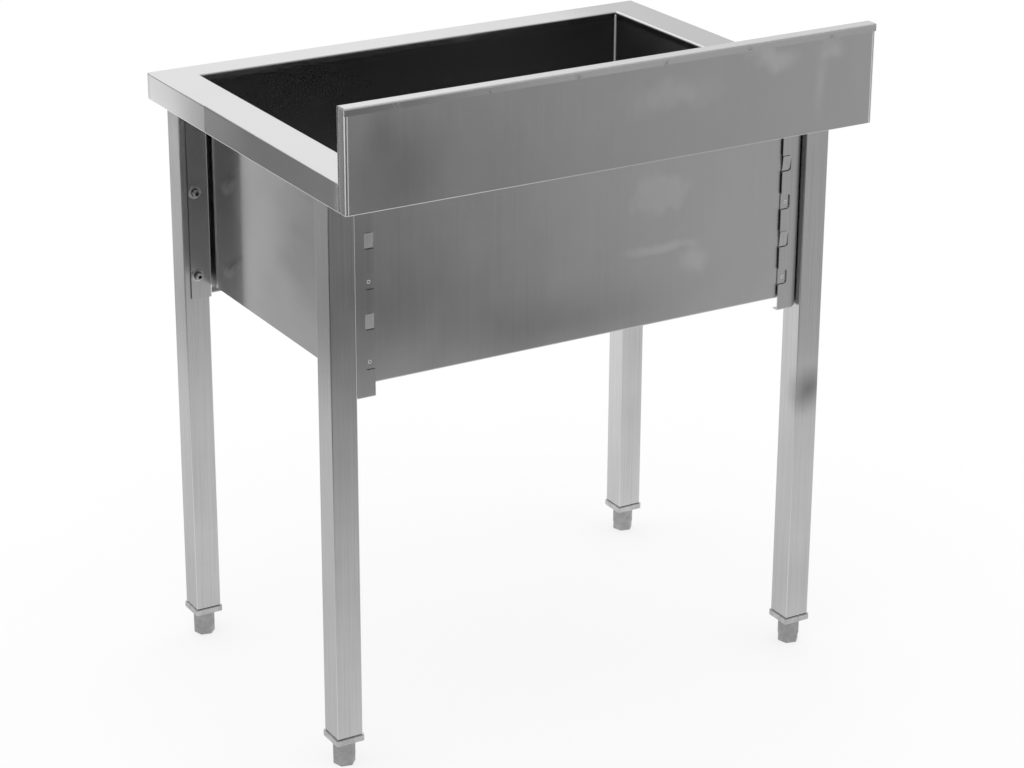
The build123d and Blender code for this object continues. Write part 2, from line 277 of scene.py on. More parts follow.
brushLines = makeBrush()
paintedBlotch = makePatch("wiped patch", warp=0.07, uneven=0.8, softFrom=0.6)
paintedStreak = makePatch("streaked patch", warp=0.025, uneven=0.8, softFrom=0.2)
paintedCloud = makePatch("clouded patch", warp=0.08, uneven=0.5, softFrom=0.1)
paintedShading = makePatch("shaded patch", warp=0.02, uneven=0.1, softFrom=-0.2)

turnedOrder = {"x": "xyz", "y": "yzx", "z": "zxy"}
brushed = {
    "rotation": 0.25,  # the gloss spreads across the brush lines
    "roughSpread": 0.02,
    "facing": 0.7,
    "bend": (0.9, 0.99),
    # bends and rounded corners are painted near white, a painted highlight
    "bendHighlight": 0.97,
}


# the place with the axis put first
def brushPlace(tree, place, axis):
    parts = dict(zip("xyz", coordinates(tree, place)))
    join = addNode(tree, "ShaderNodeCombineXYZ")
    for socket, letter in zip(join.inputs, turnedOrder[axis]):
        feed(tree, socket, parts[letter])
    return join.outputs[0]


# how squarely the face looks along the axis, either way
def alignment(tree, axis):
    normal = addNode(tree, "ShaderNodeNewGeometry").outputs["Normal"]
    return calc(tree, "ABSOLUTE", vectors(tree, "DOT_PRODUCT", normal, axes[axis]))


def facing(tree, axis):
    return above(tree, alignment(tree, axis), brushed["facing"])


# 1 on bends and rounded corners, where the face looks along none of the axes
def bendMask(tree):
    most = highest(tree, *[alignment(tree, axis) for axis in axes])
    return ramp(tree, most, *brushed["bend"], 1.0, 0.0)


# brushed steel whose lines run along brush, or along sideBrush on the faces that look left and right
def brushedSteel(name, look):
    material, tree, shader = newMaterial(name, Metallic=1.0, Anisotropic=1.0)
    shader.inputs["Anisotropic Rotation"].default_value = brushed["rotation"]
    place = objectPlace(tree)
    brush = look["brush"]
    sideBrush = look.get("sideBrush", brush)
    sideways = facing(tree, "x")
    run = mixVectors(tree, sideways, brushPlace(tree, place, brush), brushPlace(tree, place, sideBrush))
    tangent = mixVectors(tree, sideways, axes[brush], axes[sideBrush])
    if brush == "z":  # on level faces the lines run along the sink
        level = facing(tree, "z")
        run = mixVectors(tree, level, run, brushPlace(tree, place, "x"))
        tangent = mixVectors(tree, level, tangent, axes["x"])
    lines = useGroup(tree, brushLines, Place=run)
    dark, light = grey(look["color"] * (1 - look["spread"])), grey(look["color"] * (1 + look["spread"]))
    color = mixColors(tree, ramp(tree, lines["Shade"], *noiseRange, smooth=False), dark, light)
    # painted highlight on bends and rounded corners
    color = mixColors(tree, bendMask(tree), color, grey(brushed["bendHighlight"]))
    feed(tree, shader.inputs["Base Color"], color)
    least, most = look["roughness"] - brushed["roughSpread"], look["roughness"] + brushed["roughSpread"]
    feed(tree, shader.inputs["Roughness"], ramp(tree, lines["Shade"], *noiseRange, least, most))
    feed(tree, shader.inputs["Tangent"], tangent)
    addBump(tree, shader, lines["Height"], 1.0, look["swell"])
    return material, tree, shader


# puts one more step between a socket and what feeds it
def relink(tree, socket, change):
    feed(tree, socket, change(socket.links[0].from_socket))


# these three make a steel darker, give it another colour or make it rougher where the mask is 1
def shade(tree, shader, mask, factor):
    dark = grey(factor)
    relink(tree, shader.inputs["Base Color"], lambda color: mixColors(tree, mask, color, dark, "MULTIPLY"))


def recolor(tree, shader, mask, color):
    relink(tree, shader.inputs["Base Color"], lambda before: mixColors(tree, mask, before, grey(color)))


def roughen(tree, shader, mask, amount):
    relink(tree, shader.inputs["Roughness"], lambda rough: calc(tree, "MULTIPLY_ADD", mask, amount, rough))


# makes a steel only partly metal where the mask is 1, so that it takes light from all round
def dull(tree, shader, mask, metallic):
    feed(tree, shader.inputs["Metallic"], ramp(tree, mask, 0.0, 1.0, 1.0, metallic, smooth=False))


# each patch of painted light and shade has its kind, place and size, and how much lighter or darker it is
def addPatches(tree, shader, patches):
    place = objectPlace(tree)
    for kind, center, size, factor in patches:
        mask = useGroup(tree, kind, Place=place, Center=center, Size=size)["Mask"]
        if factor > 1:
            recolor(tree, shader, product(tree, mask, factor - 1), patch["lightest"])
        else:
            shade(tree, shader, mask, factor)


# painted highlights on folded edges, bright and partly non-metal: the hems of the aprons, the upstand's ends
# and its rolled top
edgeHighlight = {"color": 0.95, "hemHeight": 0.0012}


def hemMask(tree, z, node):
    low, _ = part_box(node)
    return below(tree, z, low.z + edgeHighlight["hemHeight"])


def paintEdgeHighlights(tree, shader, mask, metallic):
    recolor(tree, shader, mask, edgeHighlight["color"])
    dull(tree, shader, mask, metallic)


# painted shade: the tone of the bowl's inside and of the sheet turned down into it
insideShadeTone = 0.54
outsideX = 0.3985
rimLook = {"color": 0.77, "roughness": 0.15, "spread": 0.05, "swell": 0.0008, "brush": "x", "sideBrush": "y"}
# the sheet turned down round the bowl's opening
turnedDown = {"low": (-0.3425, -0.2530, 0.5), "high": (0.3425, 0.2130, 0.8468)}
# painted shade darkens the left end of the rim, with a painted highlight line along the opening
rimEndShade = {"range": (-0.345, -0.24), "belowZ": 0.86, "factor": 0.8}
rimEdgeHighlight = {"low": (-0.3465, -0.2530, 0.8490), "high": (-0.3425, 0.2130, 1.0)}
rimEdgeColor = 0.98
# along y on the aprons' outer faces at both ends: ground beside the upstand and welded at the front
apron = {
    "color": 0.85,
    "ground": (0.262, 0.287),
    "groundColor": 0.9,
    "groundMatt": 0.2,
    "grain": 90,
    "grainRange": (0.3, 0.6),
    "grainLeast": 0.3,
    "weld": (-0.294, -0.289),
    "weldFactor": 0.85,
}
# painted reflection on the right-hand apron: it turns darker at a sharp edge, and lighter again towards the
# upstand
apronReflectionEdge = {
    "before": (-0.21, -0.115),
    "beforeShare": 0.35,
    "edge": (-0.115, -0.109),
    "after": (-0.109, 0.22),
    "factor": 0.52,
}
# a row of spot welds along the strip at the top of the upstand's back
dimple = {
    "pitch": 0.131,
    "height": 0.9425,
    "behindY": 0.297,
    "halo": (0.0009, 0.009),
    "haloGrain": 260,
    "haloRange": (0.35, 0.6),
    "haloColor": 1.0,
    "haloMatt": 0.25,
    "pit": (0.00054, 0.00126),
    "pitFactor": 0.5,
}
# the upstand's rolled top, given half of the painted edge highlight
roll = {"aboveZ": 0.9478, "behindY": 0.2985, "share": 0.5, "metallic": 0.45}


def addApronMarks(tree, shader, place, x, y):
    outside = above(tree, calc(tree, "ABSOLUTE", x), outsideX)
    recolor(tree, shader, outside, apron["color"])
    # painted shade on the sheet turned down into the bowl
    recolor(tree, shader, insideBox(tree, place, **turnedDown), insideShadeTone)
    grain = ramp(tree, noise(tree, place, apron["grain"]), *apron["grainRange"], apron["grainLeast"], 1.0)
    ground = product(tree, outside, ramp(tree, y, *apron["ground"]), grain)
    recolor(tree, shader, ground, apron["groundColor"])
    roughen(tree, shader, ground, apron["groundMatt"])
    weld = product(tree, outside, ramp(tree, y, *apron["weld"], 1.0, 0.0))
    shade(tree, shader, weld, apron["weldFactor"])
    # painted reflection edge: darker past a sharp line on the right-hand apron
    before = ramp(tree, y, *apronReflectionEdge["before"], 0.0, apronReflectionEdge["beforeShare"])
    start = highest(tree, before, ramp(tree, y, *apronReflectionEdge["edge"]))
    end = ramp(tree, y, *apronReflectionEdge["after"], 1.0, 0.0, smooth=False)
    shade(tree, shader, product(tree, above(tree, x, outsideX), start, end), apronReflectionEdge["factor"])


def addDimples(tree, shader, place, x, y, z):
    cell = calc(tree, "SUBTRACT", calc(tree, "FRACT", calc(tree, "DIVIDE", x, dimple["pitch"])), 0.5)
    aside = product(tree, cell, dimple["pitch"])
    higher = calc(tree, "SUBTRACT", z, dimple["height"])
    distance = calc(tree, "SQRT", calc(tree, "MULTIPLY_ADD", aside, aside, product(tree, higher, higher)))
    behind = above(tree, y, dimple["behindY"])
    halo = product(tree, behind, ramp(tree, distance, *dimple["halo"], 1.0, 0.0),
                   ramp(tree, noise(tree, place, dimple["haloGrain"]), *dimple["haloRange"]))
    recolor(tree, shader, halo, dimple["haloColor"])
    roughen(tree, shader, halo, dimple["haloMatt"])
    pit = product(tree, behind, ramp(tree, distance, *dimple["pit"], 1.0, 0.0))
    shade(tree, shader, pit, dimple["pitFactor"])


def makeRimSteel():
    material, tree, shader = brushedSteel("rim steel", rimLook)
    place = objectPlace(tree)
    x, y, z = coordinates(tree, place)
    addApronMarks(tree, shader, place, x, y)
    # painted shade on the rim's left end, and a painted highlight line along the opening's left edge
    end = product(tree, below(tree, z, rimEndShade["belowZ"]), ramp(tree, x, *rimEndShade["range"], 1.0, 0.0))
    shade(tree, shader, end, rimEndShade["factor"])
    recolor(tree, shader, insideBox(tree, place, **rimEdgeHighlight), rimEdgeColor)
    # painted highlights on the upstand's rolled top and on the worktop's hems
    top = product(tree, above(tree, z, roll["aboveZ"]), above(tree, y, roll["behindY"]), roll["share"])
    paintEdgeHighlights(tree, shader, highest(tree, top, hemMask(tree, z, "worktop")), roll["metallic"])
    addDimples(tree, shader, place, x, y, z)
    return material


panelLook = {"color": 0.79, "roughness": 0.24, "spread": 0.08, "swell": 0.0022, "brush": "z"}
# painted reflections on the upstand's back: lighter and darker patches
panelPatches = [
    (paintedCloud, (-0.080, 0.300, 0.900), (0.090, 0.03, 0.032), 1.16),
    (paintedCloud, (-0.232, 0.300, 0.926), (0.046, 0.03, 0.022), 1.24),
    (paintedCloud, (-0.325, 0.300, 0.918), (0.032, 0.03, 0.020), 1.18),
    (paintedShading, (-0.312, 0.300, 0.880), (0.012, 0.03, 0.060), 1.14),
    (paintedShading, (0.350, 0.300, 0.915), (0.032, 0.03, 0.055), 0.84),
    (paintedShading, (0.318, 0.300, 0.862), (0.090, 0.03, 0.095), 0.72),
]
# the panel's ends: painted shade darker towards the back, a painted highlight on the bend, and one more
# painted bright line beside it
fold = {
    "dark": (0.284, 0.293),
    "factor": 0.84,
    "bendY": 0.2970,
    "line": (0.3950, 0.3964),
    "lineY": 0.2985,
    "hemFade": (-0.1, 0.3),
    "metallic": 0.6,
}


def makePanelSteel():
    material, tree, shader = brushedSteel("upstand steel", panelLook)
    addPatches(tree, shader, panelPatches)
    x, y, z = coordinates(tree, objectPlace(tree))
    aside = calc(tree, "ABSOLUTE", x)
    outside = above(tree, aside, outsideX)
    # painted shade towards the back of the ends; painted highlights on the bend, the line beside it and the
    # hem
    shade(tree, shader, product(tree, outside, ramp(tree, y, *fold["dark"])), fold["factor"])
    bent = product(tree, outside, above(tree, y, fold["bendY"]))
    least, most = fold["line"]
    line = product(tree, above(tree, aside, least), below(tree, aside, most), above(tree, y, fold["lineY"]))
    hem = product(tree, hemMask(tree, z, "rear_panel"), ramp(tree, x, *fold["hemFade"]))
    paintEdgeHighlights(tree, shader, highest(tree, bent, line, hem), fold["metallic"])
    return material


bowlLook = {"color": 0.78, "roughness": 0.2, "spread": 0.08, "swell": 0.002, "brush": "z", "sideBrush": "y"}
# painted reflections on the back of the bowl: lighter streaks and clouds, darker bands
bowlPatches = [
    (paintedBlotch, (-0.122, 0.212, 0.730), (0.050, 0.03, 0.032), 1.11),
    (paintedStreak, (-0.125, 0.212, 0.656), (0.072, 0.03, 0.010), 1.18),
    (paintedStreak, (-0.178, 0.212, 0.630), (0.028, 0.03, 0.030), 1.16),
    (paintedShading, (0.040, 0.212, 0.575), (0.260, 0.03, 0.070), 0.76),
    (paintedShading, (0.240, 0.212, 0.650), (0.080, 0.03, 0.090), 0.92),
]
# the inside of the bowl: painted shade makes it darker than the brushed outside, and its sheet is flatter
inside = {"low": (-0.3415, -0.2515, 0.5395), "high": (0.3415, 0.2115, 1.0)}
insideSwell = 0.12
# the far part of the bowl's left end wall inside is less metal so that it takes more light, a painted
# lightening
litEndWall = {"beyondX": -0.339, "range": (-0.2, 0.15), "metallic": 0.85}


def makeBowlSteel():
    material, tree, shader = brushedSteel("bowl steel", bowlLook)
    addPatches(tree, shader, bowlPatches)
    place = objectPlace(tree)
    x, y, _ = coordinates(tree, place)
    within = insideBox(tree, place, **inside)
    # painted shade inside the bowl
    recolor(tree, shader, within, insideShadeTone)
    bump = shader.inputs["Normal"].links[0].from_node
    flatter = ramp(tree, within, 0.0, 1.0, 1.0, insideSwell, smooth=False)
    relink(tree, bump.inputs["Height"], lambda height: product(tree, height, flatter))
    # painted light on the left end wall inside
    lifted = product(tree, within, below(tree, x, litEndWall["beyondX"]), ramp(tree, y, *litEndWall["range"]))
    dull(tree, shader, lifted, litEndWall["metallic"])
    return material


legLook = {"color": 0.79, "roughness": 0.2, "spread": 0.09, "swell": 0.0004, "brush": "z"}
bracketLook = {"color": 0.77, "roughness": 0.18, "spread": 0.09, "swell": 0.0003, "brush": "z"}
# a painted highlight high on the front leg at +x, and a painted reflection of shadow low on the rear leg at
# -x
legPatches = [
    (paintedShading, (0.387, -0.2455, 0.780), (0.012, 0.03, 0.075), 1.25),
    (paintedShading, (-0.368, 0.2245, 0.400), (0.040, 0.03, 0.042), 0.40),
]
tubeLines = {"scale": (5, 700, 700), "detail": 1.0, "range": (0.45, 0.7), "factor": 0.93}


def makeTubeSteel(name, look):
    material, tree, shader = brushedSteel(name, look)
    run = vectors(tree, "MULTIPLY", brushPlace(tree, objectPlace(tree), "z"), tubeLines["scale"])
    lines = ramp(tree, noise(tree, run, detail=tubeLines["detail"]), *tubeLines["range"])
    shade(tree, shader, lines, tubeLines["factor"])
    addPatches(tree, shader, legPatches)
    return material


turned = {
    "marks": (60, 60, 900),
    "dark": 0.9,
    "light": 1.1,
    "smoother": -0.03,
    "rougher": 0.05,
    "bump": 0.3,
    "depth": 0.00002,
}


# turned steel, for screws, washers, nuts and the waste
def startTurnedSteel(name, color, roughness):
    material, tree, shader = newMaterial(name, Metallic=1.0)
    marks = noise(tree, vectors(tree, "MULTIPLY", objectPlace(tree), turned["marks"]))
    dark, light = grey(color * turned["dark"]), grey(min(color * turned["light"], 1))
    feed(tree, shader.inputs["Base Color"], mixColors(tree, marks, dark, light))
    least, most = roughness + turned["smoother"], roughness + turned["rougher"]
    feed(tree, shader.inputs["Roughness"], ramp(tree, marks, *noiseRange, least, most))
    addBump(tree, shader, marks, turned["bump"], turned["depth"])
    return material, tree, shader


def makeTurnedSteel(name, color, roughness):
    return startTurnedSteel(name, color, roughness)[0]


# the sockets in the screw heads are painted dark, painted shade in the recess
screw = {
    "color": 0.9,
    "roughness": 0.25,
    "fromMiddle": 0.368,
    "heights": (0.568, 0.691),
    "socket": 0.0027,
    "socketShade": 0.12,
}


def makeScrewSteel():
    material, tree, shader = startTurnedSteel("screw steel", screw["color"], screw["roughness"])
    x, _, z = coordinates(tree, objectPlace(tree))
    aside = calc(tree, "SUBTRACT", calc(tree, "ABSOLUTE", x), screw["fromMiddle"])
    lower, upper = (calc(tree, "ABSOLUTE", calc(tree, "SUBTRACT", z, height)) for height in screw["heights"])
    off = calc(tree, "MINIMUM", lower, upper)
    distance = calc(tree, "SQRT", calc(tree, "MULTIPLY_ADD", aside, aside, product(tree, off, off)))
    # painted shade in each socket
    shade(tree, shader, below(tree, distance, screw["socket"]), screw["socketShade"])
    return material


cast = {
    "skin": 700,
    "skinDetail": 3.0,
    "blotches": 90,
    "range": (0.35, 0.65),
    "dark": 0.82,
    "light": 1.18,
    "roughness": (0.3, 0.45),
    "bump": 0.6,
    "depth": 0.0002,
}


def makeCastAluminium(name, color):
    material, tree, shader = newMaterial(name, Metallic=1.0)
    place = objectPlace(tree)
    skin = noise(tree, place, cast["skin"], cast["skinDetail"])
    tone = product(tree, calc(tree, "ADD", skin, noise(tree, place, cast["blotches"])), 0.5)
    tone = ramp(tree, tone, *cast["range"], smooth=False)
    dark, light = grey(color * cast["dark"]), grey(color * cast["light"])
    feed(tree, shader.inputs["Base Color"], mixColors(tree, tone, dark, light))
    feed(tree, shader.inputs["Roughness"], ramp(tree, skin, *noiseRange, *cast["roughness"]))
    addBump(tree, shader, tone, cast["bump"], cast["depth"])
    return material


rubber = {"skin": 400, "colors": (0.02, 0.05), "roughness": (0.6, 0.8)}


def makeRubber():
    material, tree, shader = newMaterial("gasket rubber")
    skin = noise(tree, objectPlace(tree), rubber["skin"])
    dark, light = (grey(color) for color in rubber["colors"])
    feed(tree, shader.inputs["Base Color"], mixColors(tree, skin, dark, light))
    feed(tree, shader.inputs["Roughness"], ramp(tree, skin, *noiseRange, *rubber["roughness"]))
    return material


# weld metal: ground light and matt, and made nearly white and little metal so that the beads also carry a
# painted highlight
weldLook = {
    "metallic": 0.1,
    "skin": 500,
    "skinDetail": 3.0,
    "colors": (0.7, 1.0),
    "roughness": (0.4, 0.6),
    "bump": 0.5,
    "depth": 0.0002,
}


def makeWeldMetal():
    material, tree, shader = newMaterial("weld metal", Metallic=weldLook["metallic"])
    skin = noise(tree, objectPlace(tree), weldLook["skin"], weldLook["skinDetail"])
    dark, light = (grey(color) for color in weldLook["colors"])
    feed(tree, shader.inputs["Base Color"], mixColors(tree, skin, dark, light))
    feed(tree, shader.inputs["Roughness"], ramp(tree, skin, *noiseRange, *weldLook["roughness"]))
    addBump(tree, shader, skin, weldLook["bump"], weldLook["depth"])
    return material


turnedSteel = makeTurnedSteel("turned steel", color=0.8, roughness=0.13)
washerZinc = makeTurnedSteel("washer zinc", color=0.95, roughness=0.4)
# the spring washers are painted very dark, painted shade in the groove between the washer and the screw head
springWasherShade = makeTurnedSteel("spring washer shade", color=0.16, roughness=0.3)
weldMetal = makeWeldMetal()
bracketSteel = makeTubeSteel("bracket steel", bracketLook)
paint(makeRimSteel(), "worktop")
paint(makePanelSteel(), "rear_panel")
paint(makeBowlSteel(), "bowl_wrap", "bowl_end_left", "bowl_end_right")
paint(makeTubeSteel("leg steel", legLook), *[f"leg_{corner}" for corner in corners])
paint(bracketSteel, *[f"bracket_{corner}" for corner in corners])
paint(makeCastAluminium("collar aluminium", color=0.8), *[f"leg_plug_{corner}" for corner in corners])
paint(makeCastAluminium("foot aluminium", color=0.52), *[f"foot_{corner}" for corner in corners])
paint(turnedSteel, *[f"foot_stem_{corner}" for corner in corners])
paint(turnedSteel, "rivet_nuts", "waste_body", "strainer", "waste_lock_nut")
paint(makeScrewSteel(), "leg_screws")
paint(washerZinc, "leg_washers")
paint(springWasherShade, "spring_washers")
paint(makeRubber(), "waste_gasket")
print("materials made")

# modelling helpers
mergeDistance = 0.000001
smoothBelow = 35  # degrees between two faces
roundSmoothBelow = 60


def onlySelect(piece):
    bpy.ops.object.select_all(action="DESELECT")
    piece.select_set(True)
    bpy.context.view_layer.objects.active = piece


def startPiece(name, operator, **values):
    bpy.ops.object.select_all(action="DESELECT")
    operator(**values)
    piece = bpy.context.object
    piece.name = name
    return piece


def settle(piece):
    onlySelect(piece)
    bpy.ops.object.transform_apply(location=True, rotation=True, scale=True)


def copyPiece(piece, name, offset, turn=(0, 0, 0)):
    twin = piece.copy()
    twin.data = piece.data.copy()
    twin.name = name
    twin.rotation_euler = turn
    twin.location = offset
    bpy.context.scene.collection.objects.link(twin)
    settle(twin)
    return twin


def applyModifier(piece, kind, **values):
    onlySelect(piece)
    modifier = piece.modifiers.new(kind.lower(), kind)
    for key, value in values.items():
        setattr(modifier, key, value)
    bpy.ops.object.modifier_apply(modifier=modifier.name)


def editMode(piece, select="SELECT", mode=(True, False, False)):
    onlySelect(piece)
    bpy.ops.object.mode_set(mode="EDIT")
    bpy.context.tool_settings.mesh_select_mode = mode
    bpy.ops.mesh.select_all(action=select)


def objectMode():
    bpy.ops.object.mode_set(mode="OBJECT")


def merge(piece):
    editMode(piece)
    bpy.ops.mesh.remove_doubles(threshold=mergeDistance)


def smooth(piece, degrees=smoothBelow):
    onlySelect(piece)
    bpy.ops.object.shade_smooth_by_angle(angle=math.radians(degrees))


def joined(name, *pieces):
    onlySelect(pieces[0])
    for piece in pieces:
        piece.select_set(True)
    bpy.ops.object.join()
    whole = bpy.context.object
    whole.name = name
    return whole


# a screw thread's ridge from bottom to top: wide at its root, narrow at its crest
def threadRidge(name, thread, bottom, top):
    depth = thread["crest"] - thread["root"] + thread["sunk"]
    middle = thread["crest"] - depth / 2
    ridge = startPiece(name, bpy.ops.mesh.primitive_plane_add, size=1, rotation=(math.radians(90), 0, 0))
    ridge.scale = (depth, thread["pitch"] * thread["base"], 1)
    ridge.location = (middle, 0, bottom)
    settle(ridge)
    for corner in ridge.data.vertices:
        if corner.co.x > middle:
            corner.co.z = bottom + (corner.co.z - bottom) * thread["tip"]
    editMode(ridge)
    bpy.ops.mesh.delete(type="ONLY_FACE")
    objectMode()
    turns = math.floor((top - bottom) / thread["pitch"])
    applyModifier(ridge, "SCREW", axis="Z", angle=math.tau, screw_offset=thread["pitch"], iterations=turns,
                  steps=thread["steps"], render_steps=thread["steps"])
    merge(ridge)
    bpy.ops.mesh.fill_holes(sides=4)  # the ridge's two ends
    bpy.ops.mesh.select_all(action="SELECT")
    bpy.ops.mesh.normals_make_consistent(inside=False)
    objectMode()
    return ridge


# the foot stems with their M12 thread
stem = {
    "pitch": 0.00175,
    "crest": 0.006,
    "root": 0.00495,
    "sunk": 0.0003,
    "base": 0.85,
    "tip": 0.2,
    "steps": 24,
    "sides": 32,
    "chamfer": 0.001,
}


def addStems():
    low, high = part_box("foot_stem_rear_right")
    core = startPiece("stem core", bpy.ops.mesh.primitive_cylinder_add, vertices=stem["sides"],
                      radius=stem["root"], depth=high.z - low.z, location=(0, 0, (low.z + high.z) / 2))
    settle(core)
    ridge = threadRidge("stem ridge", stem, low.z + stem["chamfer"], high.z - stem["chamfer"] * 2)
    pattern = joined("stem pattern", core, ridge)
    smooth(pattern)
    cover(pattern, turnedSteel)
    for corner in corners:
        low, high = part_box(f"foot_stem_{corner}")
        piece = copyPiece(pattern, f"stem_thread_{corner}", ((low.x + high.x) / 2, (low.y + high.y) / 2, 0))
        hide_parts(f"foot_stem_{corner}")
        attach(piece, f"stem_{corner}")
    bpy.data.objects.remove(pattern)


# the waste with its inch and a half pipe thread, cut into the outlet below threadTop
waste = {
    "pitch": 0.002309,
    "crest": 0.0239,
    "root": 0.0225,
    "sunk": 0.0004,
    "base": 0.85,
    "tip": 0.25,
    "steps": 48,
    "threadTop": 0.522,
    "margin": 0.0001,
    "runOut": 0.001,
    "outside": 0.0236,
}


def addWaste():
    low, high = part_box("waste_body")
    middle = (low + high) / 2
    body = copyPiece(nodes["waste_body"], "waste_outlet", (0, 0, 0))
    merge(body)
    bpy.ops.mesh.select_all(action="DESELECT")
    objectMode()
    for corner in body.data.vertices:
        aside = math.hypot(corner.co.x - middle.x, corner.co.y - middle.y)
        corner.select = aside > waste["outside"] and corner.co.z < waste["threadTop"] + waste["margin"]
    bpy.ops.object.mode_set(mode="EDIT")
    shrink = waste["root"] / waste["crest"]
    bpy.ops.transform.resize(value=(shrink, shrink, 1), center_override=(middle.x, middle.y, 0))
    objectMode()
    ridge = threadRidge("waste ridge", waste, low.z + waste["pitch"], waste["threadTop"] - waste["runOut"])
    ridge.location = (middle.x, middle.y, 0)
    settle(ridge)
    whole = joined("waste_outlet", body, ridge)
    smooth(whole)
    cover(whole, turnedSteel)
    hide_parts("waste_body")
    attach(whole, "frame")


# screws and washers with their edges rounded, so that the rims catch light
rounding = {
    "widths": {"leg_screws": 0.0005, "leg_washers": 0.0003, "spring_washers": 0.0004},
    "segments": 3,
    "sharpFrom": 50,
}


def addFasteners():
    for name, width in rounding["widths"].items():
        piece = copyPiece(nodes[name], f"{name}_rounded", (0, 0, 0))
        merge(piece)
        objectMode()
        applyModifier(piece, "BEVEL", width=width, segments=rounding["segments"], limit_method="ANGLE",
                      angle_limit=math.radians(rounding["sharpFrom"]))
        smooth(piece, rounding["sharpFrom"])
        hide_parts(name)
        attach(piece, "frame")


# weld runs in the four upright corners inside the bowl
cornerWeld = {
    "radius": 0.0015,
    "segments": 12,
    "rings": 6,
    "slant": 1.4,
    "pitch": 0.0028,
    "bottom": 0.556,
    "aboveWrap": 0.008,
    "fromOutside": 0.0012,
}


def addCornerWelds():
    low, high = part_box("bowl_wrap")
    bead = startPiece("corner bead", bpy.ops.mesh.primitive_uv_sphere_add, segments=cornerWeld["segments"],
                      ring_count=cornerWeld["rings"], radius=cornerWeld["radius"])
    bead.scale = (1, 1, cornerWeld["slant"])
    settle(bead)
    count = math.floor((high.z + cornerWeld["aboveWrap"] - cornerWeld["bottom"]) / cornerWeld["pitch"])
    applyModifier(bead, "ARRAY", count=count, use_relative_offset=False, use_constant_offset=True,
                  constant_offset_displace=(0, 0, cornerWeld["pitch"]))
    smooth(bead, roundSmoothBelow)
    cover(bead, weldMetal)
    _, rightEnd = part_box("bowl_end_right")
    inset = cornerWeld["fromOutside"]
    insideX = rightEnd.x - inset
    for end, y in (("front", low.y + inset), ("rear", high.y - inset)):
        for side, x in (("left", -insideX), ("right", insideX)):
            weld = copyPiece(bead, f"bowl_weld_{end}_{side}", (x, y, cornerWeld["bottom"]))
            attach(weld, "frame")
    bpy.data.objects.remove(bead)


# the pressed tabs of the brackets, counted from the lowest: the faces of two of each four lean, and the
# other two show a round weld mark
tab = {
    "width": 0.0138,
    "height": 0.0215,
    "thickness": 0.0003,
    "corner": 0.0016,
    "cornerSegments": 5,
    "fromEdge": 0.0074,
    "pitch": 0.0549,
    "lowest": 0.0495,
    "behindFlange": 0.002,
    "leans": (0.0, 4.0, 0.0, 6.0),
    "markRadius": 0.0022,
    "markWidth": 0.00035,
    "markSegments": (20, 8),
    "markDrop": 0.001,
}


def makeTabPlate():
    plate = startPiece("tab plate", bpy.ops.mesh.primitive_cube_add, size=1)
    plate.scale = (tab["width"], tab["thickness"], tab["height"])
    settle(plate)
    editMode(plate, "DESELECT", (False, True, False))
    objectMode()
    for edge in plate.data.edges:
        first, second = (plate.data.vertices[index].co for index in edge.vertices)
        edge.select = abs(first.y - second.y) > tab["thickness"] / 2
    bpy.ops.object.mode_set(mode="EDIT")
    bpy.ops.mesh.bevel(offset=tab["corner"], segments=tab["cornerSegments"], affect="EDGES")
    objectMode()
    cover(plate, bracketSteel)
    return plate


def makeWeldMark():
    around, across = tab["markSegments"]
    mark = startPiece("weld mark", bpy.ops.mesh.primitive_torus_add, major_radius=tab["markRadius"],
                      minor_radius=tab["markWidth"], major_segments=around, minor_segments=across,
                      rotation=(math.radians(90), 0, 0))
    settle(mark)
    smooth(mark, roundSmoothBelow)
    cover(mark, weldMetal)
    return mark


def addTabFaces():
    plate, mark = makeTabPlate(), makeWeldMark()
    for corner in corners:
        low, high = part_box(f"bracket_{corner}")
        rear, right = corner.startswith("rear"), corner.endswith("right")
        outward = 1 if rear else -1
        x = (low.x + tab["fromEdge"]) if right else (high.x - tab["fromEdge"])
        y = (high.y if rear else low.y) - outward * tab["behindFlange"]
        for count, lean in enumerate(tab["leans"]):
            z = low.z + tab["lowest"] + tab["pitch"] * count
            if lean:
                out = math.sin(math.radians(lean)) * tab["height"] / 2
                piece = copyPiece(plate, f"tab_face_{corner}_{count + 1}", (x, y + outward * out, z),
                                  (math.radians(-lean) * outward, 0, 0))
            else:
                place = (x, y + outward * tab["markWidth"] / 2, z - tab["markDrop"])
                piece = copyPiece(mark, f"spot_weld_{corner}_{count + 1}", place)
            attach(piece, "frame")
    bpy.data.objects.remove(plate)
    bpy.data.objects.remove(mark)


addStems()
addWaste()
addFasteners()
addCornerWelds()
addTabFaces()
print("threads, welds and tabs modelled")

# studio: white paper behind and under the sink. Away from it the paper falls into the dark of the room, on
# the photographer's side and beyond a flag on the left, which only the steel sees.
heading = math.radians(camera["azimuth"])
towardsCamera = (math.sin(heading), -math.cos(heading), 0)
toTheRight = (math.cos(heading), math.sin(heading), 0)
beyondFlag = (0.9123, 0.4095, 0)
floorPaper = {"size": 60.0, "color": 0.85, "glow": 1.065, "glowShare": 0.7}
